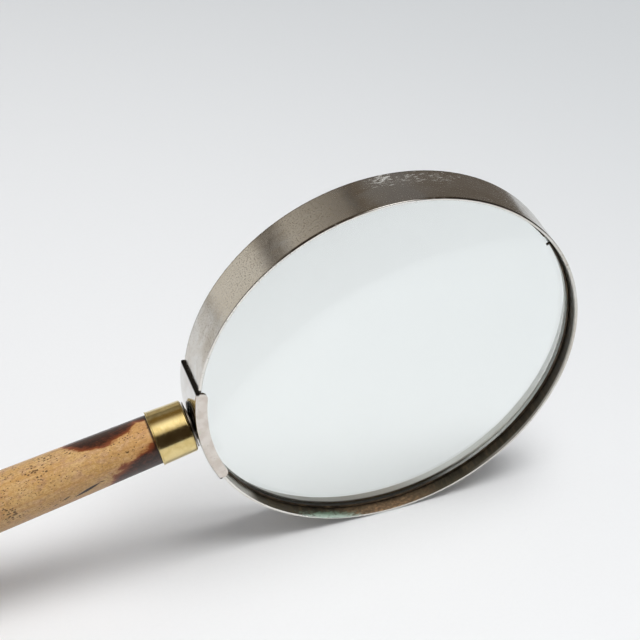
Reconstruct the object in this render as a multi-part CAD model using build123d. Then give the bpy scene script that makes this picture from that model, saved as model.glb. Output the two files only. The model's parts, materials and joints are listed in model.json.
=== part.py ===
from build123d import *
import math
import os

# A large reading magnifier: a biconvex lens in a plain sheet-metal rim, with a bamboo handle.
# It is modelled as it stands on a table: upright on the lower edge of its rim, lens axis along Y
# with the front towards -Y, and the handle sloping down towards -X until its butt touches the table.
# Origin: centre of the whole object's footprint, on the table. Millimetres and degrees.

# Lens
LENS_DIAMETER = 110.0
LENS_EDGE = 2.8              # thickness of the ground edge
LENS_CURVATURE = 340.0       # radius of both faces, about 3 dioptres
LENS_BEVEL = 0.3
LENS_FORWARD = 1.0           # its middle plane in front of the rim's

# Rim
BAND_WIDTH = 13.4
BAND_WALL = 0.85
BAND_SEAM = 0.3              # gap where the strip's two ends meet, hidden by the saddle
BAND_EDGE_ROUND = 0.25
LENS_PLAY = 0.15             # radial gap between the lens and the rim
WIRE = 0.7                   # spring wire that holds the lens in from the front
WIRE_GAP_ANGLE = 4.0         # opening between the wire ring's two ends
WIRE_HOOK_ANGLE = 157.7      # where the turned-in end is, from the handle over the top
WIRE_HOOK_BEND = 0.6
WIRE_HOOK_LENGTH = 0.4
SEAT = 0.9                   # square section of the ring that the lens rests on from behind

# Saddle, the channel that wraps the rim where the handle joins it
PLATE = 0.8
SADDLE_HALF_ANGLE = 17.1
SADDLE_LIP = 1.65            # how far the side flanges reach in past the rim's bore
SADDLE_FOLD = 0.6
SADDLE_CORNER = 1.8

# Handle
HANDLE_LEAN = 2.8            # the handle droops this much from the line through the lens centre
HANDLE_LENGTH = 187.0        # ferrule's end to butt
WASHER_DIAMETER = 13.0
WASHER_BOSS_DIAMETER = 9.0
WASHER = 0.8                 # height of the boss, between saddle and ferrule
WASHER_DISC = 0.3            # thickness of the disc around the boss
STUD_DIAMETER = 4.0
STUD_HEAD_DIAMETER = 6.2
STUD_REACH = 26.0            # into the handle, from the ferrule's end
STUD_POINT = 2.5
FERRULE_LENGTH = 10.2
FERRULE_WALL = 0.55
FERRULE_RIM_DIAMETER = 14.7  # at the end that faces the rim
FERRULE_LIP_DIAMETER = 15.3  # at the end where the bamboo goes in
FERRULE_CORNER = 0.7
FERRULE_BEAD = 0.1           # the lip is rolled out this far
FERRULE_BEAD_WIDTH = 0.5
PLUG_DIAMETER = 8.6
PLUG_LENGTH = 36.0
GLUE = 0.1                   # film between the bamboo and the ferrule
CULM_NECK_DIAMETER = 15.8    # at CULM_NECK from the ferrule's end
CULM_NECK = 54.0
CULM_BUTT_DIAMETER = 17.6
NODE_FROM_BUTT = 32.0
NODE_FLARE = 9.0             # length over which the culm swells into its node
NODE_RIDGE = 0.45
NODE_SCAR = 0.35             # depth of the groove where the leaf sheath grew
SEPTUM = 5.0                 # wall that closes the culm's hollow at its node
BUTT_ROUND = 1.8
CULM_TAPER = 0.021           # slopes of the culm's outline, radius per length: where it leaves the ferrule,
NODE_RISE = 0.25             # at the top of the node's ridge,
SCAR_RISE = 1.0              # and on the far side of the scar

FIT = 0.03                   # gap between formed metal parts that are sprung or soldered together
HOLE_PLAY = 0.1              # radial, stud in washer and ferrule

lens_r = LENS_DIAMETER / 2
bore_r = lens_r + LENS_PLAY
rim_r = bore_r + BAND_WALL
saddle_in_r = rim_r + FIT
saddle_out_r = saddle_in_r + PLATE
half_band = BAND_WIDTH / 2
half_saddle = half_band + FIT + PLATE
lens_sag = LENS_CURVATURE - math.sqrt(LENS_CURVATURE**2 - lens_r**2)
lens_half_middle = LENS_EDGE / 2 + lens_sag
culm_lip_r = FERRULE_LIP_DIAMETER / 2 - FERRULE_WALL - GLUE
culm_end_r = FERRULE_RIM_DIAMETER / 2 - FERRULE_WALL - GLUE
butt_r = CULM_BUTT_DIAMETER / 2
lean = math.radians(HANDLE_LEAN)
in_rim = Pos(0, -LENS_FORWARD, 0)

# The ferrule's end face is square to the handle and a washer's thickness off the saddle.
handle_reach = (saddle_out_r + WASHER) / math.cos(lean)
handle_seat = Pos(-handle_reach, 0, 0) * Rot(0, -90 - HANDLE_LEAN, 0)


def lens_face(radius):
    """Distance from the lens's middle plane to either face, at this radius."""
    return lens_half_middle - LENS_CURVATURE + math.sqrt(LENS_CURVATURE**2 - radius**2)


def standing_angle():
    """How far the handle swings down about the rim's axis for rim and butt to touch the table."""
    along = HANDLE_LENGTH - BUTT_ROUND
    across = butt_r - BUTT_ROUND
    out = handle_reach + along * math.cos(lean) - across * math.sin(lean)
    down = along * math.sin(lean) + across * math.cos(lean)
    height = math.asin((rim_r - BUTT_ROUND) / math.hypot(out, down))
    return math.degrees(height - math.atan2(down, out))


def ring(profile):
    """Turns a profile drawn as (radius, distance along the lens axis) about the lens axis."""
    return revolve(profile, Axis.Y)


def turned(profile):
    """Turns a profile drawn as (radius, height) about the handle's axis, and seats it on the rim."""
    return handle_seat * revolve(Plane.XZ * profile, Axis.Z)


def outline(*points):
    return make_face(Polyline(*points, close=True))


def lens():
    flat = LENS_EDGE / 2 - LENS_BEVEL
    face_r = lens_r - LENS_BEVEL
    face_y = lens_face(face_r)
    edges = [
        Line((0, -lens_half_middle), (0, lens_half_middle)),
        RadiusArc((0, lens_half_middle), (face_r, face_y), LENS_CURVATURE),
        Line((face_r, face_y), (lens_r, flat)),
        Line((lens_r, flat), (lens_r, -flat)),
        Line((lens_r, -flat), (face_r, -face_y)),
        RadiusArc((face_r, -face_y), (0, -lens_half_middle), LENS_CURVATURE),
    ]
    return in_rim * ring(make_face(edges))


def rim_band():
    strip = Pos(bore_r + BAND_WALL / 2, 0) * Rectangle(BAND_WALL, BAND_WIDTH)
    strip = fillet(strip.vertices(), BAND_EDGE_ROUND)
    seam = Pos(-rim_r, 0, 0) * Box(4 * BAND_WALL, 2 * BAND_WIDTH, BAND_SEAM)
    return ring(strip) - seam


def front_retaining_ring():
    """A split ring of spring wire. One end is turned in towards the centre, to squeeze it out by."""
    wire_r = bore_r - FIT - WIRE / 2
    slope = math.asin(wire_r / LENS_CURVATURE)
    loop = CenterArc((0, 0), wire_r, 180 - WIRE_HOOK_ANGLE, WIRE_GAP_ANGLE - 360)
    away = loop.tangent_at(0) * -1
    inward = Vector(0, 0, 0) - (loop @ 0)
    # The hook rises with the face of the lens as it turns in.
    up_the_lens = inward.normalized() + Vector(0, 0, math.tan(slope))
    hook = Plane(loop @ 0, x_dir=away, z_dir=away.cross(up_the_lens))
    bend = hook * JernArc((0, 0), (1, 0), WIRE_HOOK_BEND, 90)
    tip = Line(bend @ 1, bend @ 1 + (bend % 1) * WIRE_HOOK_LENGTH)
    wire = Part()
    for run in (loop, bend, tip):
        wire += sweep(Plane(run @ 0, z_dir=run % 0) * Circle(WIRE / 2), path=run)
    off_lens = lens_face(wire_r) + FIT + WIRE / 2 / math.cos(slope)
    return in_rim * Pos(0, -off_lens, 0) * Rot(90, 0, 0) * wire


def rear_seat_ring():
    middle = bore_r - FIT - SEAT / 2
    off_lens = lens_face(middle - SEAT / 2) + FIT + SEAT / 2
    return in_rim * ring(Pos(middle, off_lens) * RectangleRounded(SEAT, SEAT, SEAT / 5))


def saddle():
    lip_r = bore_r - SADDLE_LIP
    inside = half_band + FIT
    channel = outline(
        (lip_r, -half_saddle),
        (saddle_out_r, -half_saddle),
        (saddle_out_r, half_saddle),
        (lip_r, half_saddle),
        (lip_r, inside),
        (saddle_in_r, inside),
        (saddle_in_r, -inside),
        (lip_r, -inside),
    )
    folds = channel.vertices().group_by(Axis.X)[-1]
    channel = fillet(folds, SADDLE_FOLD)
    wrapped = revolve(channel, Axis.Y, 2 * SADDLE_HALF_ANGLE)
    wrapped = Rot(0, 180 - SADDLE_HALF_ANGLE, 0) * wrapped
    corners = [
        edge
        for edge in wrapped.edges().filter_by(Axis.Y)
        if math.hypot(edge.center().X, edge.center().Z) < lip_r + PLATE / 4
    ]
    return fillet(corners, SADDLE_CORNER) - stud_blank()


def stud_blank():
    """The stud before its head is dressed down to the curve of the saddle's inside."""
    shank = STUD_DIAMETER / 2
    head = STUD_HEAD_DIAMETER / 2
    web_outside = -WASHER
    web_inside = -WASHER - PLATE
    return turned(outline(
        (0, web_inside - PLATE),
        (head, web_inside - PLATE),
        (head, web_inside),
        (shank, web_outside),
        (shank, STUD_REACH - STUD_POINT),
        (0, STUD_REACH),
    ))


def handle_stud():
    inside_of_saddle = Rot(90, 0, 0) * Cylinder(saddle_in_r, 2 * BAND_WIDTH)
    return stud_blank() - inside_of_saddle


def spacer_washer():
    """A thin disc with a boss on both sides, so that it shows as a line between saddle and ferrule."""
    bore = STUD_DIAMETER / 2 + HOLE_PLAY
    boss = WASHER_BOSS_DIAMETER / 2
    disc = WASHER_DIAMETER / 2
    near = -(WASHER - WASHER_DISC) / 2
    far = near - WASHER_DISC
    return turned(outline(
        (bore, 0),
        (boss, 0),
        (boss, near),
        (disc, near),
        (disc, far),
        (boss, far),
        (boss, -WASHER),
        (bore, -WASHER),
    ))


def ferrule():
    """A drawn cup, slightly wider at its open end, where its lip is rolled out into a small bead."""
    bore = STUD_DIAMETER / 2 + HOLE_PLAY
    near = FERRULE_RIM_DIAMETER / 2
    far = FERRULE_LIP_DIAMETER / 2
    bead_r = far + FERRULE_BEAD
    bead_start = FERRULE_LENGTH - FERRULE_BEAD_WIDTH
    cup = outline(
        (bore, 0),
        (near, 0),
        (far, bead_start),
        (bead_r, bead_start + FERRULE_BEAD),
        (bead_r, FERRULE_LENGTH),
        (far - FERRULE_WALL, FERRULE_LENGTH),
        (near - FERRULE_WALL, FERRULE_WALL),
        (bore, FERRULE_WALL),
    )
    corner = cup.vertices().sort_by_distance((near, 0))[0]
    cup = fillet(corner, FERRULE_CORNER)
    lip = cup.vertices().group_by(Axis.Y)[-1]
    return turned(fillet(lip, FERRULE_BEAD))


def handle_plug():
    """A hardwood dowel, glued in the culm's hollow, that the stud is driven into."""
    start = FERRULE_WALL
    dowel = outline(
        (STUD_DIAMETER / 2, start),
        (PLUG_DIAMETER / 2, start),
        (PLUG_DIAMETER / 2, PLUG_LENGTH),
        (0, PLUG_LENGTH),
        (0, STUD_REACH),
        (STUD_DIAMETER / 2, STUD_REACH - STUD_POINT),
    )
    return turned(dowel)


def bamboo_handle():
    """One length of culm, hollow from the ferrule to the node that closes it near the butt."""
    node = HANDLE_LENGTH - NODE_FROM_BUTT
    ridge_r = butt_r + NODE_RIDGE
    scar_r = ridge_r - NODE_SCAR
    bore = PLUG_DIAMETER / 2
    in_ferrule = Line((culm_end_r, FERRULE_WALL), (culm_lip_r, FERRULE_LENGTH))
    side = Spline(
        (culm_lip_r, FERRULE_LENGTH),
        (CULM_NECK_DIAMETER / 2, CULM_NECK),
        (butt_r, node - NODE_FLARE),
        tangents=((CULM_TAPER, 1), (0, 1)),
    )
    flare = Spline(side @ 1, (ridge_r, node), tangents=((0, 1), (NODE_RISE, 1)))
    scar = Line(flare @ 1, (scar_r, node + NODE_SCAR))
    collar = Spline(
        scar @ 1,
        (ridge_r, node + NODE_FLARE / 4),
        (butt_r, node + NODE_FLARE * 2 / 3),
        tangents=((SCAR_RISE, 1), (0, 1)),
    )
    rest = Polyline(
        collar @ 1,
        (butt_r, HANDLE_LENGTH),
        (0, HANDLE_LENGTH),
        (0, node + SEPTUM / 2),
        (bore, node - SEPTUM / 2),
        (bore, FERRULE_WALL),
        (culm_end_r, FERRULE_WALL),
    )
    section = make_face([in_ferrule, side, flare, scar, collar, *rest.edges()])
    corner = section.vertices().sort_by_distance((butt_r, HANDLE_LENGTH))[0]
    return turned(fillet(corner, BUTT_ROUND))


PIECES = (
    lens,
    rim_band,
    front_retaining_ring,
    rear_seat_ring,
    saddle,
    handle_stud,
    spacer_washer,
    ferrule,
    handle_plug,
    bamboo_handle,
)

made = {piece.__name__: Rot(0, -standing_angle(), 0) * piece() for piece in PIECES}
whole = Compound(children=[Compound(part.solids()) for part in made.values()]).bounding_box()
on_table = Pos(-whole.center().X, 0, rim_r)

os.makedirs("parts", exist_ok=True)
for name, part in made.items():
    export_step(on_table * part, f"parts/{name}.step")
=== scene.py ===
import json
import math
from collections import namedtuple
import bmesh
import bpy
from mathutils import Matrix, Vector, noise

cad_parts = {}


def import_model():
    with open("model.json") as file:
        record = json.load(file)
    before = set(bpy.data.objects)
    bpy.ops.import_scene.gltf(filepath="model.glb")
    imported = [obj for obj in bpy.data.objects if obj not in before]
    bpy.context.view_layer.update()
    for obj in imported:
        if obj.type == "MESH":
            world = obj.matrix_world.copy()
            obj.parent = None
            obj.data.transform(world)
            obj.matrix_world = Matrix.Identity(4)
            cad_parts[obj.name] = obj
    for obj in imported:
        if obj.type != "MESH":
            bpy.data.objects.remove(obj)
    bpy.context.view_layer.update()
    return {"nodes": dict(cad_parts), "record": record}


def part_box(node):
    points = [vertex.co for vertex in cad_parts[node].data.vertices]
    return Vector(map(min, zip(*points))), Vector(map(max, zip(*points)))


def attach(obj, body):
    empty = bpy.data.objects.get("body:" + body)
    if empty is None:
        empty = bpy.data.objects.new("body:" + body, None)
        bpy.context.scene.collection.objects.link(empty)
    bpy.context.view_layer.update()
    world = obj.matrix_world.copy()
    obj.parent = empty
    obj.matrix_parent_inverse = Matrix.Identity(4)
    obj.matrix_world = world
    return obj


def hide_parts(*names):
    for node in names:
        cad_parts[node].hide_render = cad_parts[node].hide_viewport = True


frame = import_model()

MM = 0.001

# ---------------------------------------------------------------- places, from the frame
rim_low, rim_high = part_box("rim_band")
rim_centre = (rim_low + rim_high) / 2
RIM_R = (rim_high.z - rim_low.z) / 2
HALF_BAND = (rim_high.y - rim_low.y) / 2
lens_low, lens_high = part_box("lens")
LENS_R = (lens_high.z - lens_low.z) / 2
LENS_HALF_MIDDLE = (lens_high.y - lens_low.y) / 2
lens_centre = (lens_low + lens_high) / 2
LENS_PLAY = 0.15 * MM
BORE_R = LENS_R + LENS_PLAY
# The band's front edge, in the millimetres that the patterns are drawn in.
FRONT = -HALF_BAND / MM

HANDLE_LENGTH = 187.0 * MM
butt_mount = next(m for m in frame["record"]["mounts"] if m["name"] == "handle_butt")
handle_axis = Vector(butt_mount["axis"]).normalized()
MOUNT_FROM_FERRULE = 173.1 * MM
ferrule_end = Vector(butt_mount["pos_m"]) - handle_axis * MOUNT_FROM_FERRULE
# The saddle's middle as a turn about the lens's axis, and where its cut ends begin from there, in degrees.
SADDLE_TURN = -9.109
SADDLE_SPAN = (-16.7, 16.7)
# The handle's own frame: z from the ferrule's end to the butt, x upwards, y as the row's.
handle_up = Vector((0, 1, 0)).cross(handle_axis)
handle_frame = Matrix.LocRotScale(
    ferrule_end,
    Matrix((handle_up, (0, 1, 0), handle_axis)).transposed().to_quaternion(),
    None,
)

# The culm, as in the CAD: radius in mm at distances in mm from the ferrule's end.
FERRULE_LENGTH = 10.2
CULM_END = 0.55
CULM_END_R = 6.7
CULM_LIP_R = 7.0
CULM_NECK = 54.0
CULM_NECK_R = 7.9
BUTT_R = 8.8
NODE = 155.0
NODE_FLARE = 9.0
NODE_RIDGE = 0.45
NODE_SCAR = 0.35
BUTT_ROUND = 1.8
BORE = 4.3
SEPTUM = 5.0
# Its outline's slopes at the ferrule, at the neck and on either side of the node's scar.
CULM_TAPER = 0.021
NECK_TAPER = 0.016
NODE_RISE = 0.16
SCAR_RISE = 0.45
# How far it is from round, in mm, and where its bud scar is, in degrees.
SWELL = 0.10
FLATS = 0.05
SUNK = 0.06
BUD_RISE = 0.25
BUD_ANGLE = 35.0


# ---------------------------------------------------------------- camera
CAMERA_AZIMUTH = math.radians(-19.6)
CAMERA_ELEVATION = math.radians(39.53)
CAMERA_DISTANCE = 8.3535 * RIM_R
SENSOR_WIDTH = 36.0
FOCAL_LENGTH = 95.6
# What it looks at: a point this many rim radii from the middle of the rim's front edge.
AIM_OFF = Vector((-0.2877, 0.2644, 0.1848))
CAMERA_AIM = rim_centre + Vector((0, -HALF_BAND, 0)) + RIM_R * AIM_OFF


def link(name, data):
    made = bpy.data.objects.new(name, data)
    bpy.context.scene.collection.objects.link(made)
    return made


def camera():
    data = bpy.data.cameras.new("camera")
    data.sensor_width = SENSOR_WIDTH
    data.lens = FOCAL_LENGTH
    data.clip_start = 0.01
    made = link("camera", data)
    back = Vector((
        math.sin(CAMERA_AZIMUTH) * math.cos(CAMERA_ELEVATION),
        -math.cos(CAMERA_AZIMUTH) * math.cos(CAMERA_ELEVATION),
        math.sin(CAMERA_ELEVATION),
    ))
    made.location = CAMERA_AIM + back * CAMERA_DISTANCE
    made.rotation_euler = back.to_track_quat("Z", "Y").to_euler()
    bpy.context.scene.camera = made


camera()


# ---------------------------------------------------------------- shader building
class Graph:
    """A node tree built from calls that return sockets. Any input takes a number, a colour or a socket."""

    def __init__(self, tree):
        self.tree = tree
        tree.nodes.clear()

    def node(self, kind, inputs=(), **settings):
        made = self.tree.nodes.new(kind)
        for key, value in settings.items():
            setattr(made, key, value)
        for key, value in dict(inputs).items():
            self.give(made.inputs[key], value)
        return made

    def give(self, socket, value):
        if isinstance(value, bpy.types.NodeSocket):
            self.tree.links.new(value, socket)
        elif isinstance(value, (tuple, list, Vector)) and socket.type == "RGBA":
            socket.default_value = (*value[:3], 1.0)
        else:
            socket.default_value = value

    def math(self, operation, *values):
        made = self.node("ShaderNodeMath", enumerate(values), operation=operation)
        return made.outputs[0]

    def vector(self, operation, *values, output="Vector"):
        made = self.node("ShaderNodeVectorMath", operation=operation)
        names = [s for s in made.inputs if s.enabled]
        for socket, value in zip(names, values):
            self.give(socket, value)
        return made.outputs[output]

    def scaled(self, where, x, y, z):
        return self.vector("MULTIPLY", where, (x, y, z))

    def split(self, where):
        return self.node("ShaderNodeSeparateXYZ", {0: where}).outputs

    def join(self, x, y, z):
        return self.node("ShaderNodeCombineXYZ", {0: x, 1: y, 2: z}).outputs[0]

    def ramp(self, value, low, high, to_low=0.0, to_high=1.0, kind="SMOOTHSTEP"):
        inputs = {"Value": value, "From Min": low, "From Max": high, "To Min": to_low, "To Max": to_high}
        return self.node("ShaderNodeMapRange", inputs, interpolation_type=kind).outputs[0]

    def window(self, value, low, high, soft):
        rise = self.ramp(value, low - soft, low + soft)
        fall = self.ramp(value, high - soft, high + soft, 1.0, 0.0)
        return self.math("MULTIPLY", rise, fall)

    def noise(self, where, scale, detail=3.0, roughness=0.5, distortion=0.0):
        inputs = {"Vector": where, "Scale": scale, "Detail": detail, "Roughness": roughness,
                  "Distortion": distortion}
        return self.node("ShaderNodeTexNoise", inputs).outputs["Fac"]

    def cells(self, where, scale, randomness=1.0):
        inputs = {"Vector": where, "Scale": scale, "Randomness": randomness}
        return self.node("ShaderNodeTexVoronoi", inputs).outputs

    def mix(self, factor, a, b, blend="MIX"):
        made = self.node("ShaderNodeMix", data_type="RGBA", blend_type=blend)
        self.give(made.inputs[0], factor)
        self.give(made.inputs[6], a)
        self.give(made.inputs[7], b)
        return made.outputs[2]

    def blend(self, factor, a, b):
        """Between two plain values."""
        return self.math("ADD", self.math("MULTIPLY", a, self.math("SUBTRACT", 1.0, factor)),
                         self.math("MULTIPLY", b, factor))

    def colours(self, value, *stops):
        made = self.node("ShaderNodeValToRGB", {0: value})
        ramp = made.color_ramp
        for place, colour in stops[2:]:
            ramp.elements.new(place)
        for element, (place, colour) in zip(ramp.elements, sorted(stops)):
            element.position = place
            element.color = (*colour, 1.0)
        return made.outputs[0]

    def bump(self, height, distance, strength=1.0, under=None):
        inputs = {"Height": height, "Distance": distance, "Strength": strength}
        if under is not None:
            inputs["Normal"] = under
        return self.node("ShaderNodeBump", inputs).outputs[0]

    def principled(self, **inputs):
        named = {key.replace("_", " "): value for key, value in inputs.items()}
        return self.node("ShaderNodeBsdfPrincipled", named).outputs[0]

    def surface(self, shader, output="ShaderNodeOutputMaterial"):
        self.node(output, {"Surface": shader})


def material(name):
    made = bpy.data.materials.new(name)
    made.use_nodes = True
    return made, Graph(made.node_tree)


RimPlaces = namedtuple("RimPlaces", "mm radius turn y strip")
HandlePlaces = namedtuple("HandlePlaces", "mm x y z radius")


def rim_places(g):
    """Millimetres from the rim's centre, radius, turn, depth along y, and the band unrolled as a strip."""
    here = g.node("ShaderNodeTexCoord").outputs["Object"]
    mm = g.vector("SCALE", g.vector("SUBTRACT", here, rim_centre))
    mm.node.inputs["Scale"].default_value = 1 / MM
    x, y, z = g.split(mm)
    radius = g.math("SQRT", g.math("ADD", g.math("MULTIPLY", x, x), g.math("MULTIPLY", z, z)))
    # 0 at the handle's side, rising over the top; its one jump is at the handle, under the saddle.
    turn = g.math("SUBTRACT", 180.0, g.math("DEGREES", g.math("ARCTAN2", z, x)))
    around = g.math("MULTIPLY", turn, math.radians(RIM_R / MM))
    return RimPlaces(mm, radius, turn, y, g.join(around, y, radius))


def handle_places(g, own_frame):
    """Millimetres in the handle's frame, where z runs along it, and the distance from its axis."""
    here = g.node("ShaderNodeTexCoord").outputs["Object"]
    if not own_frame:
        here = g.node("ShaderNodeMapping", {
            "Vector": here,
            "Location": ferrule_end,
            "Rotation": handle_frame.to_euler(),
        }, vector_type="TEXTURE").outputs[0]
    mm = g.vector("SCALE", here)
    mm.node.inputs["Scale"].default_value = 1 / MM
    x, y, z = g.split(mm)
    radius = g.math("SQRT", g.math("ADD", g.math("MULTIPLY", x, x), g.math("MULTIPLY", y, y)))
    return HandlePlaces(mm, x, y, z, radius)


# ---------------------------------------------------------------- materials
def band_outside(g, at):
    """Nickel plate, pitted and browned in patches, with painted reflections in bands, a painted highlight
    along the front lip and painted shade on its corners. Gives its colour, roughness, height and flakes.
    """
    clouds = g.noise(g.scaled(at.strip, 0.10, 0.16, 0.1), 1.0, 5.0, 0.62, 0.6)
    stains = g.noise(g.scaled(at.strip, 0.35, 0.30, 0.3), 1.0, 4.0, 0.6, 0.3)
    fine = g.noise(g.scaled(at.strip, 1.2, 6.5, 1.0), 1.0, 3.0, 0.7)
    pits = g.noise(g.scaled(at.strip, 2.2, 2.6, 1.0), 1.0, 3.0, 0.65)
    browned = g.window(at.turn, 18.0, 78.0, 10.0)
    pitted = g.ramp(g.math("ADD", pits, g.math("MULTIPLY", browned, 0.05)), 0.58, 0.70)

    plate = g.colours(clouds, (0.32, (0.50, 0.45, 0.38)), (0.5, (0.62, 0.585, 0.53)),
                      (0.68, (0.70, 0.69, 0.66)))
    plate = g.mix(g.ramp(stains, 0.58, 0.80, 0.0, 0.35), plate, (0.34, 0.27, 0.19))
    # Painted reflections: pale beige bands, a cool grey band and a dark stripe at set turns stand in for the
    # room reflected in the plate.
    reflected_light_bands = g.math("MAXIMUM", g.window(at.turn, 32.0, 51.0, 2.5), g.window(at.turn, 59.5, 78.0, 2.0))
    plate = g.mix(g.math("MULTIPLY", reflected_light_bands, 0.8), plate, (0.88, 0.83, 0.74))
    reflected_cool_band = g.window(g.math("ADD", at.turn, g.math("MULTIPLY", clouds, 12.0)), 90.0, 104.0, 3.0)
    plate = g.mix(g.math("MULTIPLY", reflected_cool_band, 0.7), plate, (0.80, 0.84, 0.88))
    reflected_dark_stripe = g.window(g.math("ADD", at.turn, g.math("MULTIPLY", stains, 3.0)), 54.5, 58.5, 1.0)
    plate = g.mix(g.math("MULTIPLY", reflected_dark_stripe, 0.35), plate, (0.36, 0.33, 0.29))
    plate = g.mix(g.math("MULTIPLY", pitted, 0.6), plate, (0.20, 0.15, 0.11))
    # Painted highlight: the front lip is made pale, strongly except at the right side, where it is faint.
    lip_highlight_strength = g.ramp(g.window(at.turn, 135.0, 238.0, 14.0), 0.0, 1.0, 0.7, 0.1)
    lip = g.ramp(at.y, FRONT + 0.12, FRONT + 0.3, 1.0, 0.0)
    plate = g.mix(g.math("MULTIPLY", lip, lip_highlight_strength), plate, (0.88, 0.86, 0.82))
    # Painted shade on the outer corners and along the back edge.
    plate = g.mix(painted_corner_shade(g, at, stains), plate, (0.085, 0.06, 0.04))
    rough = g.ramp(stains, 0.3, 0.8, 0.13, 0.26)
    rough = g.math("ADD", rough, g.math("MULTIPLY", pitted, 0.22))

    flakes = worn_flakes(g, at)
    plate = g.mix(flakes, plate, (0.62, 0.62, 0.60))
    rough = g.math("MAXIMUM", rough, g.math("MULTIPLY", flakes, 0.5))
    height = g.math("ADD", g.math("MULTIPLY", pitted, -0.6), g.math("MULTIPLY", clouds, 0.8))
    height = g.math("ADD", height, g.math("MULTIPLY", fine, 0.10))
    height = g.math("ADD", height, g.math("MULTIPLY", flakes, 0.5))
    return plate, rough, height, flakes


def painted_corner_shade(g, at, stains):
    """Painted shade on the outer corners, over the upper half of the rim in front, and along the back edge,
    broken up by the stains.
    """
    corner = g.math("MULTIPLY", g.ramp(at.y, FRONT + 0.35, FRONT + 0.75, 1.0, 0.0),
                    g.ramp(at.radius, RIM_R / MM - 0.45, RIM_R / MM - 0.15))
    left = g.window(at.turn, 55.0, 82.0, 4.0)
    right = g.window(at.turn, 95.0, 140.0, 4.0)
    worn = g.math("MULTIPLY", corner, g.math("MAXIMUM", left, right))
    # Painted shade: a dark line along the back edge.
    worn = g.math("MAXIMUM", worn, g.ramp(at.y, -FRONT - 0.7, -FRONT - 0.2, 0.0, 0.6))
    return g.math("MULTIPLY", worn, g.ramp(stains, 0.3, 0.5, 0.55, 1.0))


def worn_flakes(g, at):
    """Pale, dull skin where the plate has flaked off, near the far edge at the top of the rim."""
    patch = g.math("MULTIPLY", g.window(at.turn, 86.0, 93.0, 3.0), g.window(at.y, 2.4, 7.5, 1.6))
    streak = g.math("MULTIPLY", g.window(at.turn, 84.0, 113.0, 5.0), g.window(at.y, 0.5, 6.0, 2.4))
    zone = g.math("MAXIMUM", patch, g.math("MULTIPLY", streak, 0.75))
    chips = g.noise(g.scaled(at.strip, 0.50, 2.4, 0.5), 1.0, 6.0, 0.74, 0.6)
    flakes = g.ramp(g.math("ADD", chips, g.math("MULTIPLY", zone, 0.15)), 0.65, 0.71)
    return g.math("MULTIPLY", flakes, g.ramp(zone, 0.05, 0.3))


def band_inside(g, at):
    """Olive-brown tarnish with rust at the bottom, bare and pale at the right and below the handle."""
    drips = g.noise(g.scaled(at.strip, 0.7, 0.16, 0.0), 1.0, 5.0, 0.7, 0.4)
    spots = g.noise(g.scaled(at.strip, 0.9, 1.1, 0.0), 1.0, 5.0, 0.75, 0.5)
    tarnish = g.colours(drips, (0.30, (0.014, 0.012, 0.009)), (0.5, (0.040, 0.033, 0.022)),
                        (0.62, (0.080, 0.060, 0.036)), (0.8, (0.15, 0.10, 0.055)))
    tarnish = g.mix(g.ramp(at.y, FRONT + 0.1, FRONT + 3.1, 0.45, 0.0), tarnish, (0.085, 0.075, 0.048))
    rusty = g.ramp(at.y, FRONT + 0.2, FRONT + 5.0, 1.0, 0.2)
    rusty = g.math("MULTIPLY", g.window(at.turn, 258.0, 282.0, 9.0), rusty)
    rust = g.math("MULTIPLY", rusty, g.ramp(spots, 0.44, 0.62, 0.25, 0.95))
    tarnish = g.mix(rust, tarnish, (0.38, 0.225, 0.115))

    lip = g.ramp(at.y, FRONT + 0.4, FRONT + 1.0, 0.8, 0.0)
    lip = g.math("MULTIPLY", g.window(at.turn, 126.0, 232.0, 12.0), lip)
    behind = g.math("MULTIPLY", g.window(at.turn, 126.0, 340.0, 12.0), g.ramp(at.y, 0.6, 3.6))
    behind = g.math("MULTIPLY", behind, g.ramp(at.turn, 244.0, 272.0, 1.0, 0.5))
    clean = g.math("MULTIPLY", g.window(at.turn, 319.0, 352.0, 3.5), 0.9)
    bare = g.math("MAXIMUM", g.math("MAXIMUM", lip, behind), clean)
    colour = g.mix(bare, tarnish, g.mix(behind, (0.80, 0.77, 0.71), (0.93, 0.94, 0.92)))
    rough = g.ramp(drips, 0.3, 0.7, 0.30, 0.55)
    metal = g.blend(behind, g.ramp(bare, 0.0, 1.0, 0.25, 0.9), 0.35)
    return colour, rough, metal


def verdigris(g, at):
    """Green crust on the lip and just inside it, along the bottom. Gives where it is and its colour."""
    spots = g.noise(g.scaled(at.strip, 0.8, 1.3, 0.0), 1.0, 5.0, 0.75, 0.6)
    near_front = g.ramp(at.y, FRONT, FRONT + 4.8, 1.0, 0.0)
    not_outside = g.ramp(at.radius, RIM_R / MM - 0.4, RIM_R / MM - 0.15, 1.0, 0.0)
    along_lip = g.math("MULTIPLY", g.window(at.turn, 280.0, 298.0, 13.0), near_front)
    along_lip = g.math("MULTIPLY", along_lip, not_outside)
    green = g.ramp(g.math("ADD", spots, g.math("MULTIPLY", along_lip, 0.6)), 0.70, 1.0, 0.0, 0.85)
    mint = g.mix(g.ramp(at.y, FRONT + 0.1, FRONT + 1.6), (0.50, 0.64, 0.55), (0.17, 0.27, 0.19))
    return green, mint


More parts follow.
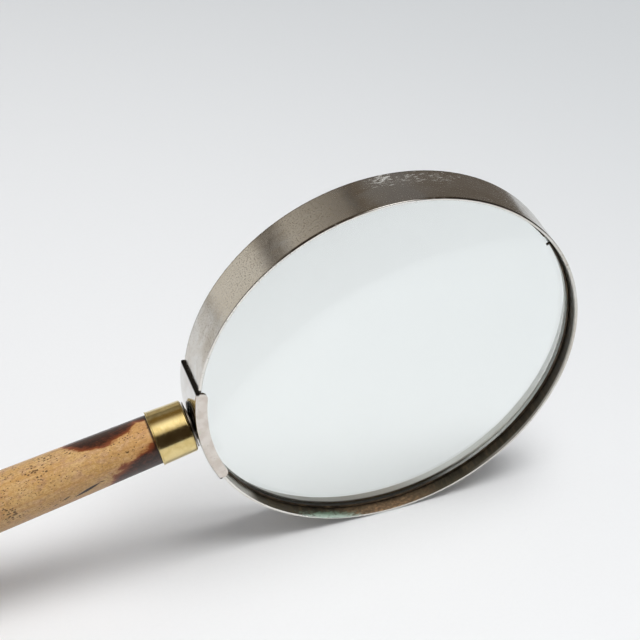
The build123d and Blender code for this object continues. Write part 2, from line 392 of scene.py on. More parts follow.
def worn_nickel():
    """The rim band: pitted nickel plate outside, brown tarnish with verdigris inside."""
    made, g = material("worn_nickel")
    at = rim_places(g)
    plate, plate_rough, height, flakes = band_outside(g, at)
    tarnish, tarnish_rough, tarnish_metal = band_inside(g, at)
    green, mint = verdigris(g, at)
    inside = g.ramp(at.radius, BORE_R / MM + 0.06, BORE_R / MM + 0.16, 1.0, 0.0)
    colour = g.mix(green, g.mix(inside, plate, tarnish), mint)
    plate_metal = g.ramp(flakes, 0.0, 1.0, 1.0, 0.45)
    metal = g.blend(green, g.blend(inside, plate_metal, tarnish_metal), 0.1)
    rough = g.blend(inside, plate_rough, tarnish_rough)
    height = g.math("ADD", height, g.math("MULTIPLY", green, 1.5))
    normal = g.bump(height, 0.03 * MM, 0.55)
    g.surface(g.principled(Base_Color=colour, Metallic=metal, Roughness=rough, Normal=normal))
    return made


def saddle_nickel():
    """Bright, nearly mirror-smooth web; warmer satin flanges where hands and tables rub them."""
    made, g = material("saddle_nickel")
    at = rim_places(g)
    side = g.math("ABSOLUTE", at.y)
    flange = g.ramp(side, HALF_BAND / MM + 0.55, HALF_BAND / MM + 0.95)
    clouds = g.noise(g.scaled(at.mm, 0.25, 0.25, 0.25), 1.0, 4.0, 0.6, 0.4)
    pits = g.ramp(g.noise(g.scaled(at.mm, 1.9, 1.9, 1.9), 1.0, 2.0, 0.6), 0.66, 0.76)
    web_colour = g.mix(g.ramp(clouds, 0.4, 0.7), (0.70, 0.69, 0.67), (0.60, 0.57, 0.53))
    flange_colour = g.mix(g.ramp(clouds, 0.35, 0.65), (0.76, 0.70, 0.64), (0.66, 0.585, 0.52))
    colour = g.mix(flange, web_colour, flange_colour)
    colour = g.mix(g.math("MULTIPLY", pits, 0.5), colour, (0.22, 0.18, 0.15))
    # Painted shade: the saddle's cut end faces are made nearly black.
    cut_end_shade = g.math("MULTIPLY", g.ramp(at.radius, RIM_R / MM - 0.2, RIM_R / MM + 0.1),
                      g.math("SUBTRACT", 1.0, g.window(turn_from_saddle(g, at.turn), *SADDLE_SPAN, 0.25)))
    colour = g.mix(cut_end_shade, colour, (0.05, 0.045, 0.04))
    rough = g.ramp(flange, 0.0, 1.0, 0.09, 0.34)
    rough = g.math("ADD", rough, g.math("MULTIPLY", pits, 0.2))
    height = g.math("ADD", g.math("MULTIPLY", clouds, 0.6), g.math("MULTIPLY", pits, -0.5))
    normal = g.bump(height, 0.03 * MM, 0.6)
    g.surface(g.principled(Base_Color=colour, Metallic=1.0, Roughness=rough, Normal=normal))
    return made


def turn_from_saddle(g, turn):
    """The turn about the lens's axis counted from the saddle's middle, from -180 to 180."""
    off = g.math("SUBTRACT", turn, SADDLE_TURN)
    return g.math("WRAP", off, 180.0, -180.0)


def ferrule_brass():
    """Spun brass: fine rings around it, small dents and a little brown in the hollows."""
    made, g = material("ferrule_brass")
    at = handle_places(g, own_frame=False)
    rings = g.noise(g.scaled(at.mm, 0.12, 0.12, 7.0), 1.0, 3.0, 0.6)
    clouds = g.noise(g.scaled(at.mm, 0.35, 0.35, 0.35), 1.0, 3.0, 0.5, 0.5)
    specks = g.ramp(g.noise(g.scaled(at.mm, 2.4, 2.4, 2.4), 1.0, 2.0, 0.6), 0.67, 0.76)
    colour = g.mix(g.ramp(clouds, 0.35, 0.7), (0.77, 0.625, 0.305), (0.66, 0.51, 0.215))
    colour = g.mix(g.ramp(rings, 0.55, 0.8, 0.0, 0.35), colour, (0.46, 0.33, 0.13))
    colour = g.mix(g.math("MULTIPLY", specks, 0.75), colour, (0.16, 0.10, 0.04))
    # Painted shade: the brass is darkened at its end beside the washer and saddle.
    edge = g.math("MULTIPLY", g.ramp(at.z, 0.2, 0.9, 1.0, 0.0), 0.4)
    colour = g.mix(edge, colour, (0.25, 0.16, 0.06))
    rough = g.ramp(rings, 0.3, 0.75, 0.13, 0.22)
    height = g.math("ADD", g.math("MULTIPLY", rings, 0.19), g.math("MULTIPLY", clouds, 0.6))
    normal = g.bump(height, 0.02 * MM, 0.6)
    g.surface(g.principled(Base_Color=colour, Metallic=1.0, Roughness=rough, Normal=normal))
    return made


def dark_wire():
    made, g = material("dark_wire")
    at = rim_places(g)
    clouds = g.noise(g.scaled(at.strip, 0.35, 1.0, 1.0), 1.0, 4.0, 0.6)
    colour = g.colours(clouds, (0.35, (0.035, 0.028, 0.020)), (0.55, (0.085, 0.062, 0.040)),
                       (0.75, (0.20, 0.15, 0.09)))
    rough = g.ramp(clouds, 0.3, 0.7, 0.28, 0.48)
    normal = g.bump(clouds, 0.03 * MM, 0.5)
    g.surface(g.principled(Base_Color=colour, Metallic=0.8, Roughness=rough, Normal=normal))
    return made


def seat_nickel():
    """Satin nickel of the seat ring, with painted shade darkening it along the bottom."""
    made, g = material("seat_nickel")
    at = rim_places(g)
    clouds = g.noise(g.scaled(at.strip, 0.3, 0.8, 0.8), 1.0, 4.0, 0.6)
    bright = g.mix(g.ramp(clouds, 0.35, 0.7), (0.92, 0.91, 0.88), (0.80, 0.78, 0.74))
    low = lower_arc_shade(g, at.turn, clouds)
    # Painted shade: nearly black along the lower arc.
    colour = g.mix(low, bright, g.mix(clouds, (0.03, 0.024, 0.016), (0.13, 0.10, 0.065)))
    rough = g.ramp(clouds, 0.3, 0.7, 0.34, 0.5)
    normal = g.bump(clouds, 0.03 * MM, 0.5)
    g.surface(g.principled(Base_Color=colour, Metallic=0.95, Roughness=rough, Normal=normal))
    return made


def lower_arc_shade(g, turn, clouds):
    """The lower left of the rim, where painted shade darkens everything under the lens's edge."""
    wavering = g.math("ADD", turn, g.math("MULTIPLY", clouds, 16.0))
    return g.window(wavering, 250.0, 336.0, 16.0)


def washer_nickel():
    """Bright only around the disc's rim; painted shade makes it dull and dark where it is shut in."""
    made, g = material("washer_nickel")
    at = handle_places(g, own_frame=False)
    clouds = g.noise(g.scaled(at.mm, 0.8, 0.8, 0.8), 1.0, 3.0, 0.6)
    rim = g.ramp(at.radius, 6.0, 6.4)
    # Painted shade: the disc inside its rim, shut in between ferrule and saddle.
    dull = g.mix(clouds, (0.10, 0.085, 0.07), (0.06, 0.05, 0.04))
    colour = g.mix(rim, dull, g.mix(clouds, (0.42, 0.39, 0.34), (0.26, 0.23, 0.20)))
    normal = g.bump(clouds, 0.03 * MM, 0.5)
    g.surface(g.principled(Base_Color=colour, Metallic=1.0, Roughness=0.3, Normal=normal))
    return made


def turned_steel():
    made, g = material("turned_steel")
    at = handle_places(g, own_frame=False)
    rings = g.noise(g.scaled(at.mm, 0.3, 0.3, 6.0), 1.0, 3.0, 0.6)
    colour = g.mix(rings, (0.50, 0.50, 0.50), (0.36, 0.35, 0.34))
    g.surface(g.principled(Base_Color=colour, Metallic=1.0, Roughness=0.3, Normal=g.bump(rings, 0.02 * MM)))
    return made


def dowel_wood():
    made, g = material("dowel_wood")
    at = handle_places(g, own_frame=False)
    grain = g.noise(g.scaled(at.mm, 2.5, 2.5, 0.12), 1.0, 4.0, 0.6, 0.4)
    colour = g.mix(g.ramp(grain, 0.35, 0.65), (0.48, 0.29, 0.14), (0.30, 0.16, 0.07))
    g.surface(g.principled(Base_Color=colour, Roughness=0.6, Normal=g.bump(grain, 0.04 * MM)))
    return made


def lens_glass():
    """Clear glass with the faint green of its thickness. Light passes it without casting a hard shadow."""
    made, g = material("lens_glass")
    glass = g.node("ShaderNodeBsdfGlass", {"Color": (0.975, 0.992, 0.988), "Roughness": 0.0, "IOR": 1.52})
    slant = g.node("ShaderNodeLayerWeight", {"Blend": 0.5}).outputs["Facing"]
    lost = g.ramp(g.math("POWER", slant, 5.0), 0.0, 1.0, 0.05, 1.0, "LINEAR")
    clear = g.node("ShaderNodeBsdfTransparent", {"Color": g.mix(lost, (1.0, 1.0, 1.0), (0.0, 0.0, 0.0))})
    shadow = g.node("ShaderNodeLightPath").outputs["Is Shadow Ray"]
    mixed = g.node("ShaderNodeMixShader", {0: shadow, 1: glass.outputs[0], 2: clear.outputs[0]})
    g.surface(mixed.outputs[0])
    return made


def ground_glass():
    """The lens's ground edge: fine grey-white frosting, darkened by painted shade along the bottom."""
    made, g = material("ground_glass")
    at = rim_places(g)
    grit = g.noise(g.scaled(at.strip, 3.0, 3.0, 1.0), 1.0, 4.0, 0.7)
    clouds = g.noise(g.scaled(at.strip, 0.15, 0.4, 0.4), 1.0, 3.0, 0.6)
    colour = g.mix(g.ramp(clouds, 0.35, 0.7), (0.90, 0.92, 0.90), (0.80, 0.82, 0.80))
    colour = g.mix(g.ramp(grit, 0.45, 0.7, 0.0, 0.2), colour, (0.50, 0.51, 0.49))
    # Painted shade: nearly black along the lower arc.
    colour = g.mix(g.math("MULTIPLY", lower_arc_shade(g, at.turn, clouds), 0.97), colour, (0.02, 0.017, 0.013))
    g.surface(g.principled(Base_Color=colour, Roughness=0.7, Normal=g.bump(grit, 0.02 * MM),
                           Specular_IOR_Level=0.15))
    return made


# Flame marks on the bamboo: along the handle in mm, angle about it, half length in mm, half angle.
BURNS = (
    (23.0, 29.6, 10.5, 50.0),
    (8.0, 39.6, 8.0, 36.0),
    (8.0, -130.4, 17.5, 76.0),
    (58.0, 125.0, 15.0, 34.0),
    (83.0, -60.0, 9.0, 26.0),
    (104.0, 60.0, 16.0, 40.0),
    (121.0, -150.0, 13.0, 45.0),
    (156.0, 10.0, 9.0, 60.0),
    (160.0, -140.0, 14.0, 48.0),
    (184.0, 90.0, 9.0, 70.0),
)
# Dark nicks in the skin: along in mm, angle, half length in mm, slant, half width in mm.
NICKS = (
    (31.7, -100.4, 4.0, -1.7, 0.50),
    (37.6, -98.5, 1.3, -0.4, 0.20),
    (27.2, -93.0, 0.9, 0.3, 0.16),
    (41.0, -106.0, 0.8, -0.3, 0.16),
    (72.0, -20.0, 2.2, 0.8, 0.22),
    (133.0, 140.0, 2.6, -0.9, 0.25),
)
# Where the mould specks crowd together: along in mm, angle, reach in mm.
CROWDS = (
    (31.5, 8.0, 5.0),
    (38.5, 6.0, 6.0),
    (43.0, -14.0, 7.0),
    (52.0, -80.0, 7.0),
    (96.0, -40.0, 8.0),
    (140.0, 110.0, 9.0),
)
SKIN_R = 7.5


def toward(g, at, degrees):
    """How far a point lies towards an angle about the handle, in mm."""
    turn = math.radians(degrees)
    return g.math("ADD", g.math("MULTIPLY", at.x, math.cos(turn)), g.math("MULTIPLY", at.y, math.sin(turn)))


def bamboo_skin(g, at, fibres, streaks):
    """Straw-coloured lacquered skin, browner next to the ferrule, and browner underneath by painted shade.
    """
    blotches = g.noise(g.scaled(at.mm, 0.16, 0.16, 0.07), 1.0, 4.0, 0.6, 0.4)
    mottle = g.noise(g.scaled(at.mm, 0.55, 0.55, 0.30), 1.0, 4.0, 0.65, 0.5)
    skin = g.colours(blotches, (0.30, (0.51, 0.285, 0.088)), (0.5, (0.60, 0.36, 0.13)),
                     (0.70, (0.65, 0.43, 0.19)))
    grain = g.noise(g.scaled(at.mm, 1.7, 1.7, 1.0), 1.0, 5.0, 0.8)
    skin = g.mix(g.ramp(mottle, 0.45, 0.66, 0.0, 0.75), skin, (0.53, 0.315, 0.18))
    skin = g.mix(g.ramp(grain, 0.50, 0.62, 0.0, 0.9), skin, (0.38, 0.215, 0.105))
    skin = g.mix(g.ramp(grain, 0.38, 0.48, 0.5, 0.0), skin, (0.76, 0.54, 0.31))
    skin = g.mix(g.ramp(streaks, 0.4, 0.75, 0.0, 0.45), skin, (0.48, 0.23, 0.06))
    skin = g.mix(g.ramp(fibres, 0.5, 0.8, 0.0, 0.40), skin, (0.38, 0.19, 0.06))
    # Painted shade: the skin darkens and browns from the top towards the underside.
    under = g.ramp(g.math("DIVIDE", at.x, g.math("MAXIMUM", at.radius, 0.01)), -0.75, 0.55, 0.42, 0.0)
    skin = g.mix(under, skin, (0.36, 0.20, 0.075))
    return g.mix(g.ramp(at.z, FERRULE_LENGTH, 25.0, 0.3, 0.0), skin, (0.56, 0.25, 0.075))


def mould_specks(g, mm):
    """Specks under the lacquer, thick in some places and absent in others."""
    crowd = g.ramp(g.noise(g.scaled(mm, 0.11, 0.11, 0.05), 1.0, 2.0, 0.5), 0.32, 0.58)
    for along, angle, reach in CROWDS:
        turn = math.radians(angle)
        centre = (SKIN_R * math.cos(turn), SKIN_R * math.sin(turn), along)
        away = g.vector("DISTANCE", mm, centre, output="Value")
        crowd = g.math("MAXIMUM", crowd, g.ramp(away, 0.0, reach, 1.9, 0.0))
    small = g.cells(g.scaled(mm, 1.6, 1.6, 1.15), 1.0)
    size = g.math("MULTIPLY", crowd, 0.27)
    ragged = g.ramp(g.noise(g.scaled(mm, 4.5, 4.5, 3.0), 1.0, 2.0), 0.3, 0.7, -0.16, 0.16, "LINEAR")
    edge = g.math("ADD", g.math("SUBTRACT", small["Distance"], size), ragged)
    speck = g.ramp(edge, -0.07, 0.02, 1.0, 0.0)
    speck = g.math("MULTIPLY", speck, g.ramp(g.split(small["Color"])[0], 0.25, 0.30))
    large = g.cells(g.scaled(mm, 0.42, 0.42, 0.22), 1.0)
    wobble = g.noise(g.scaled(mm, 2.0, 2.0, 2.0), 1.0, 2.0)
    big = g.math("ADD", large["Distance"], g.math("MULTIPLY", wobble, 0.12))
    chosen = g.ramp(g.split(large["Color"])[1], 0.5, 0.55)
    big = g.math("MULTIPLY", g.ramp(big, 0.14, 0.18, 1.0, 0.0), chosen)
    return g.math("MAXIMUM", g.math("MULTIPLY", speck, 0.8), g.math("MULTIPLY", big, 0.85))


def flame_marks(g, at):
    """Ragged scorched patches: how much each point is burnt, and the colour there."""
    ragged = g.noise(g.scaled(at.mm, 0.55, 0.55, 0.22), 1.0, 5.0, 0.65, 0.6)
    coarse = g.noise(g.scaled(at.mm, 0.18, 0.18, 0.09), 1.0, 3.0, 0.55)
    depth = -1.0
    for along, angle, half_length, half_angle in BURNS:
        facing = g.math("DIVIDE", toward(g, at, angle), g.math("MAXIMUM", at.radius, 0.01))
        across = g.math("DIVIDE", g.math("DEGREES", g.math("ARCCOSINE", facing)), half_angle)
        down = g.math("DIVIDE", g.math("SUBTRACT", at.z, along), half_length)
        away = g.vector("LENGTH", g.join(across, down, 0.0), output="Value")
        depth = g.math("MAXIMUM", depth, g.math("SUBTRACT", 1.0, away))
    # The marks further down the handle are the more broken ones.
    broken = g.math("MULTIPLY", g.ramp(coarse, 0.3, 0.7, -1.0, 1.0, "LINEAR"),
                    g.ramp(at.z, 42.0, 56.0, 0.05, 0.45))
    depth = g.math("ADD", depth, g.ramp(ragged, 0.2, 0.8, -0.13, 0.13, "LINEAR"))
    depth = g.math("ADD", depth, broken)
    char = g.colours(g.ramp(depth, -0.05, 0.50, kind="LINEAR"), (0.0, (0.45, 0.19, 0.06)),
                     (0.17, (0.22, 0.058, 0.018)), (0.40, (0.045, 0.014, 0.007)),
                     (0.85, (0.028, 0.012, 0.008)))
    mottle = g.ramp(g.noise(g.scaled(at.mm, 1.6, 1.6, 0.7), 1.0, 5.0, 0.75), 0.46, 0.66, 0.0, 0.75)
    shallow = g.ramp(depth, 0.1, 0.6, 1.0, 0.35)
    char = g.mix(g.math("MULTIPLY", mottle, shallow), char, (0.17, 0.042, 0.018))
    return g.ramp(depth, -0.06, 0.05), char


def nick_marks(g, at):
    """Short, slanting dark nicks, widest in the middle."""
    found = 0.0
    for along, angle, half_length, slant, half_width in NICKS:
        t = g.math("DIVIDE", g.math("SUBTRACT", at.z, along), half_length)
        across = toward(g, at, angle + 90.0)
        off = g.math("ABSOLUTE", g.math("SUBTRACT", across, g.math("MULTIPLY", t, slant / 2)))
        width = g.math("MULTIPLY", g.math("SUBTRACT", 1.0, g.math("MULTIPLY", t, t)), half_width)
        near_side = g.ramp(toward(g, at, angle), 0.0, 1.0)
        nick = g.ramp(g.math("SUBTRACT", off, width), -0.06, 0.05, 1.0, 0.0)
        found = g.math("MAXIMUM", found, g.math("MULTIPLY", nick, near_side))
    return found


def cut_bamboo(g, mm):
    """The butt's cut end: pale wood with the dark dots of the fibre bundles."""
    bundles = g.cells(g.scaled(mm, 1.5, 1.5, 0.0), 1.0)
    dots = g.ramp(bundles["Distance"], 0.25, 0.38, 1.0, 0.0)
    return g.mix(g.math("MULTIPLY", dots, 0.7), (0.50, 0.33, 0.17), (0.15, 0.075, 0.03))


def lacquered_bamboo():
    made, g = material("lacquered_bamboo")
    at = handle_places(g, own_frame=True)
    fibres = g.noise(g.scaled(at.mm, 2.6, 2.6, 0.05), 1.0, 4.0, 0.62)
    streaks = g.noise(g.scaled(at.mm, 0.7, 0.7, 0.018), 1.0, 3.0, 0.55)
    specks = mould_specks(g, at.mm)
    burn, char = flame_marks(g, at)
    nick = nick_marks(g, at)
    colour = bamboo_skin(g, at, fibres, streaks)
    colour = g.mix(specks, colour, (0.060, 0.028, 0.012))
    colour = g.mix(burn, colour, char)
    colour = g.mix(nick, colour, (0.035, 0.02, 0.012))
    # Painted shade: the skin is made nearly black in the gap against the ferrule.
    ferrule_gap_shade = g.ramp(at.z, FERRULE_LENGTH + 0.25, FERRULE_LENGTH + 0.8, 0.85, 0.0)
    colour = g.mix(ferrule_gap_shade, colour, (0.03, 0.018, 0.01))
    end = g.ramp(at.z, HANDLE_LENGTH / MM - 0.5, HANDLE_LENGTH / MM - 0.1)
    colour = g.mix(end, colour, cut_bamboo(g, at.mm))

    rough = g.math("ADD", 0.36, g.math("MULTIPLY", fibres, 0.12))
    height = g.math("ADD", g.math("MULTIPLY", fibres, 0.5), g.math("MULTIPLY", streaks, 1.2))
    height = g.math("ADD", height, g.math("MULTIPLY", nick, -2.0))
    height = g.math("ADD", height, g.math("MULTIPLY", specks, -0.25))
    normal = g.bump(height, 0.06 * MM, 0.6)
    g.surface(g.principled(
        Base_Color=colour, Roughness=rough, Normal=normal, Coat_Weight=0.42, Coat_Roughness=0.14,
        Coat_Normal=g.bump(height, 0.03 * MM, 0.35), Specular_IOR_Level=0.25,
    ))
    return made


# ---------------------------------------------------------------- meshes
def revolved(name, profile, segments, axis, shape=None):
    """Turns (radius, along) points about an axis. shape(radius, along, angle) may move a point's radius."""
    shape = shape or (lambda radius, along, angle: radius)
    made = bmesh.new()
    rows = []
    for radius, along in profile:
        if radius < 1e-9:
            rows.append([made.verts.new(axis(0.0, along, 0.0))])
            continue
        row = []
        for i in range(segments):
            angle = 2 * math.pi * i / segments
            row.append(made.verts.new(axis(shape(radius, along, angle), along, angle)))
        rows.append(row)
    for a, b in zip(rows, rows[1:]):
        for i in range(segments):
            j = (i + 1) % segments
            corners = [a[i % len(a)], a[j % len(a)], b[j % len(b)], b[i % len(b)]]
            unique = list(dict.fromkeys(corners))
            if len(unique) > 2:
                made.faces.new(unique)
    bmesh.ops.recalc_face_normals(made, faces=made.faces)
    mesh = bpy.data.meshes.new(name)
    made.to_mesh(mesh)
    made.free()
    mesh.shade_smooth()
    return link(name, mesh)


def about_lens(radius, along, angle):
    return lens_centre + Vector((radius * math.cos(angle), along, radius * math.sin(angle)))


def about_handle(radius, along, angle):
    return Vector((radius * math.cos(angle), radius * math.sin(angle), along))


LENS_CURVATURE = 340.0 * MM
LENS_EDGE = 2.8 * MM
LENS_BEVEL = 0.3 * MM
LENS_SEGMENTS = 288
CULM_SEGMENTS = 216


def lens_piece():
    """The polished lens, turned finely enough for clean refraction, with its ground edge."""
    def face(radius):
        return LENS_HALF_MIDDLE - LENS_CURVATURE + math.sqrt(LENS_CURVATURE**2 - radius**2)

    steps = 40
    face_r = LENS_R - LENS_BEVEL
    front = [(face_r * i / steps, -face(face_r * i / steps)) for i in range(steps + 1)]
    flat = LENS_EDGE / 2 - LENS_BEVEL
    edge = [(LENS_R, -flat), (LENS_R, 0.0), (LENS_R, flat)]
    back = [(radius, -along) for radius, along in reversed(front)]
    piece = revolved("lens_optic", front + edge + back, LENS_SEGMENTS, about_lens)
    mesh = piece.data
    mesh.materials.append(lens_glass())
    mesh.materials.append(ground_glass())
    for polygon in mesh.polygons:
        c = polygon.center - rim_centre
        if math.hypot(c.x, c.z) > face_r - 0.02 * MM:
            polygon.material_index = 1
    sharpen(mesh, 25)
    return piece


def sharpen(mesh, degrees):
    """Marks edges that turn by more than this angle, so that smooth shading stops there."""
    made = bmesh.new()
    made.from_mesh(mesh)
    for edge in made.edges:
        if len(edge.link_faces) == 2 and edge.calc_face_angle() > math.radians(degrees):
            edge.smooth = False
    made.to_mesh(mesh)
    made.free()


def hermite(a, b, slope_a, slope_b, steps):
    """Points on a smooth curve between two (radius, along) points, with the slopes given at its ends."""
    (ra, za), (rb, zb) = a, b
    length = zb - za
    points = []
    for i in range(1, steps + 1):
        t = i / steps
        radius = ((2 * t**3 - 3 * t**2 + 1) * ra + (t**3 - 2 * t**2 + t) * length * slope_a
                  + (3 * t**2 - 2 * t**3) * rb + (t**3 - t**2) * length * slope_b)
        points.append((radius, za + t * length))
    return points


def culm_profile():
    ridge = BUTT_R + NODE_RIDGE
    scar = ridge - NODE_SCAR
    end = HANDLE_LENGTH / MM
    points = [(0.0, NODE - SEPTUM / 2), (BORE - 1.5, NODE - SEPTUM / 2), (BORE, NODE - SEPTUM / 2 - 1.0)]
    points += [(BORE, CULM_END), (CULM_END_R, CULM_END), (CULM_END_R + 0.1, 4.0)]
    points += [(CULM_LIP_R, FERRULE_LENGTH)]
    points += hermite((CULM_LIP_R, FERRULE_LENGTH), (CULM_NECK_R, CULM_NECK), CULM_TAPER, NECK_TAPER, 60)
    points += hermite((CULM_NECK_R, CULM_NECK), (BUTT_R, NODE - NODE_FLARE), NECK_TAPER, 0.0, 110)
    points += hermite((BUTT_R, NODE - NODE_FLARE), (ridge, NODE), 0.0, NODE_RISE, 16)
    points += [(ridge - 0.05, NODE + 0.08), (scar, NODE + NODE_SCAR)]
    points += hermite((scar, NODE + NODE_SCAR), (ridge, NODE + NODE_FLARE / 4), SCAR_RISE, 0.0, 8)
    points += hermite((ridge, NODE + NODE_FLARE / 4), (BUTT_R, NODE + NODE_FLARE * 2 / 3), 0.0, 0.0, 10)
    points += [(BUTT_R, NODE + NODE_FLARE * 2 / 3 + 0.7 * i) for i in range(1, 34)]
    for i in range(10):
        turn = math.pi / 2 * i / 9
        points.append((BUTT_R - BUTT_ROUND * (1 - math.cos(turn)), end - BUTT_ROUND * (1 - math.sin(turn))))
    points += [((BUTT_R - BUTT_ROUND) * k, end) for k in (0.8, 0.6, 0.4, 0.2)]
    return [(r * MM, z * MM) for r, z in points + [(0.0, end)]]


def culm_shape(radius, along, angle):
    """Not quite round: slow swells along the culm, shallow flats around it, and a bud scar at the node."""
    if radius < CULM_END_R * MM - 1e-6:
        return radius
    z = along / MM
    free = min(1.0, max(0.0, (z - FERRULE_LENGTH) / 12.0))
    x, y = math.cos(angle), math.sin(angle)
    swell = noise.noise(Vector((x * 0.9, y * 0.9, z * 0.02)))
    flats = noise.noise(Vector((x * 3.0, y * 3.0, z * 0.012 + 7.0)))
    bud_angle = math.radians(BUD_ANGLE)
    off = math.acos(max(-1.0, min(1.0, x * math.cos(bud_angle) + y * math.sin(bud_angle))))
    bud = math.exp(-((z - NODE - 2.2) / 2.0) ** 2 - (off / 0.28) ** 2) * BUD_RISE
    return radius + free * MM * (SWELL * swell - SUNK + FLATS * flats + bud)


def culm_piece():
    piece = revolved("bamboo_culm", culm_profile(), CULM_SEGMENTS, about_handle, culm_shape)
    piece.data.materials.append(lacquered_bamboo())
    sharpen(piece.data, 40)
    piece.matrix_world = handle_frame
    return piece


# ---------------------------------------------------------------- stage and light
def card(name, corners):
    mesh = bpy.data.meshes.new(name)
    mesh.from_pydata([tuple(c) for c in corners], [], [tuple(range(len(corners)))])
    return link(name, mesh)


FLOOR_HALF = 4.0
# Painted shade: the paper is darkened towards the back right, standing in for the light falling off, between
# these distances from the origin.
FADE_TOWARD = (0.92, 0.52, 0.0)
FADE_FROM = -0.0316
FADE_TO = 0.4384


def floor():
    half = FLOOR_HALF
    piece = card("floor", [(-half, -half, 0), (half, -half, 0), (half, half, 0), (-half, half, 0)])
    made, g = material("floor_paper")
    here = g.node("ShaderNodeTexCoord").outputs["Object"]
    tooth = g.noise(here, 900.0, 3.0, 0.6)
    away = g.vector("DOT_PRODUCT", here, FADE_TOWARD, output="Value")
    # Painted shade: paler in front, darker towards the back right.
    shade = g.ramp(away, FADE_FROM, FADE_TO)
    colour = g.mix(shade, (0.875, 0.882, 0.892), (0.62, 0.64, 0.655))
    colour = g.mix(g.ramp(tooth, 0.4, 0.7, 0.0, 0.02), colour, (0.5, 0.5, 0.5))
    g.surface(g.principled(Base_Color=colour, Roughness=0.8, Normal=g.bump(tooth, 0.02 * MM, 0.2),
                           Specular_IOR_Level=0.2))
    piece.data.materials.append(made)


def direction(azimuth, elevation):
    """A unit vector: azimuth from +Y, the back, towards +X, and elevation above the floor, in degrees."""
    a, e = math.radians(azimuth), math.radians(elevation)
    return Vector((math.sin(a) * math.cos(e), math.cos(a) * math.cos(e), math.sin(e)))


KEY_RADIANCE = 13.0
KEY_SIDE = 0.8
KEY_DISTANCE = 1.0
KEY_TOWARD = direction(112.0, 77.0)
# Where polished metal sees the lamp's glow.
GLOW_TOWARD = direction(128.0, 71.0)


def key_light():
    """A large softbox overhead and a little to the right, fading towards its edges."""
    data = bpy.data.lights.new("key", "AREA")
    data.shape = "SQUARE"
    data.size = KEY_SIDE
    data.energy = KEY_RADIANCE * math.pi * KEY_SIDE**2
    data.use_nodes = True
    g = Graph(data.node_tree)
    uv = g.node("ShaderNodeTexCoord").outputs["UV"]
    off = g.vector("DISTANCE", uv, (0.5, 0.5, 0.0), output="Value")
    fade = g.ramp(off, 0.14, 0.5, 1.0, 0.0)
    glow = g.node("ShaderNodeEmission", {"Color": (1.0, 0.995, 0.985), "Strength": fade})
    g.surface(glow.outputs[0], "ShaderNodeOutputLight")
    lamp = link("key", data)
    lamp.location = rim_centre + KEY_TOWARD * KEY_DISTANCE
    lamp.rotation_euler = KEY_TOWARD.to_track_quat("Z", "Y").to_euler()
    lamp.visible_camera = False
    lamp.visible_glossy = False


def wall(name, low, high, left, right, reach, colour, fade_to=None):
    """A curved card seen only in reflections: elevations low to high, azimuths left to right, in degrees."""
    mesh = bmesh.new()
    steps = 24
    rows = []
    for i in range(steps + 1):
        azimuth = left + (right - left) * i / steps
        flat = direction(azimuth, 0.0) * reach
        lift = [max(0.001, rim_centre.z + reach * math.tan(math.radians(e))) for e in (low, high)]
        rows.append([mesh.verts.new(Vector((rim_centre.x + flat.x, flat.y, z))) for z in lift])
    for a, b in zip(rows, rows[1:]):
        mesh.faces.new((a[0], b[0], b[1], a[1]))
    data = bpy.data.meshes.new(name)
    mesh.to_mesh(data)
    mesh.free()
    piece = link(name, data)
    made, g = material(name)
    here = g.vector("SUBTRACT", g.node("ShaderNodeTexCoord").outputs["Object"], rim_centre)
    x, y, z = g.split(here)
    bearing = g.math("DEGREES", g.math("ARCTAN2", x, y))
    shade = g.ramp(bearing, left, right, 0.0, 1.0, "LINEAR")
    glow = g.node("ShaderNodeEmission", {"Color": g.mix(shade, colour, fade_to or colour)})
    g.surface(glow.outputs[0])
    data.materials.append(made)
    piece.visible_camera = False
    piece.visible_diffuse = False
    piece.visible_shadow = False
    piece.visible_transmission = False


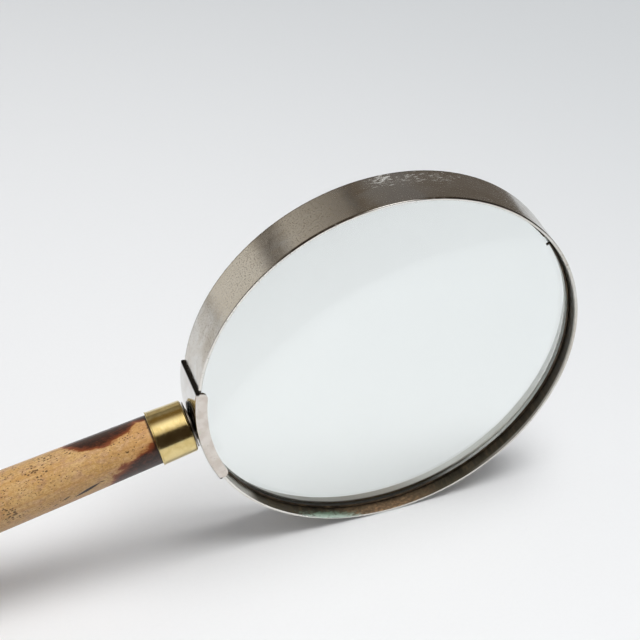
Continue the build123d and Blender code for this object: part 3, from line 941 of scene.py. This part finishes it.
def world():
    """The camera sees a pale ground past the floor, dull surfaces an even fill, and metal a dim room."""
    made = bpy.data.worlds.new("studio")
    made.use_nodes = True
    bpy.context.scene.world = made
    g = Graph(made.node_tree)
    path = g.node("ShaderNodeLightPath").outputs
    seen = g.math("MAXIMUM", path["Is Camera Ray"], path["Is Transmission Ray"])
    look = g.node("ShaderNodeTexCoord").outputs["Generated"]
    height = g.split(look)[2]
    fill = g.mix(g.ramp(height, 0.0, 0.9), (0.09, 0.09, 0.093), (0.44, 0.445, 0.455))
    room = g.mix(g.ramp(height, 0.6, 0.8), (0.165, 0.145, 0.125), (0.18, 0.125, 0.055))
    near_glow = g.vector("DOT_PRODUCT", look, GLOW_TOWARD, output="Value")
    from_glow = g.math("DEGREES", g.math("ARCCOSINE", near_glow))
    room = g.mix(g.ramp(from_glow, 4.0, 42.0, 1.0, 0.0), room, (2.6, 2.58, 2.54))
    colour = g.mix(seen, fill, (0.84, 0.85, 0.865))
    colour = g.mix(path["Is Glossy Ray"], colour, room)
    background = g.node("ShaderNodeBackground", {"Color": colour, "Strength": 1.0})
    g.surface(background.outputs[0], "ShaderNodeOutputWorld")


def studio():
    floor()
    key_light()
    world()
    wall("backdrop", -8.0, 24.0, -85.0, 24.0, 0.60, (0.70, 0.68, 0.64), (0.38, 0.35, 0.31))
    wall("window_wall", 31.0, 50.0, -60.0, 6.0, 0.62, (0.66, 0.62, 0.56), (0.12, 0.11, 0.10))
    wall("dark_corner", -20.0, 40.0, 26.0, 80.0, 0.33, (0.165, 0.145, 0.125))
    wall("dark_front", -40.0, 48.0, 95.0, 265.0, 0.36, (0.04, 0.03, 0.022))
    bpy.context.scene.view_settings.view_transform = "Standard"


# ---------------------------------------------------------------- put together
def dress(node, made):
    """Gives a CAD node this material in place of its plain one."""
    piece = frame["nodes"][node]
    for i in range(len(piece.data.materials)):
        piece.data.materials[i] = made


def build():
    dress("rim_band", worn_nickel())
    dress("saddle", saddle_nickel())
    dress("front_retaining_ring", dark_wire())
    dress("rear_seat_ring", seat_nickel())
    dress("spacer_washer", washer_nickel())
    dress("ferrule", ferrule_brass())
    dress("handle_stud", turned_steel())
    dress("handle_plug", dowel_wood())

    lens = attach(lens_piece(), "root")
    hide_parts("lens")

    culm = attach(culm_piece(), "root")
    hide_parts("bamboo_handle")


build()
studio()
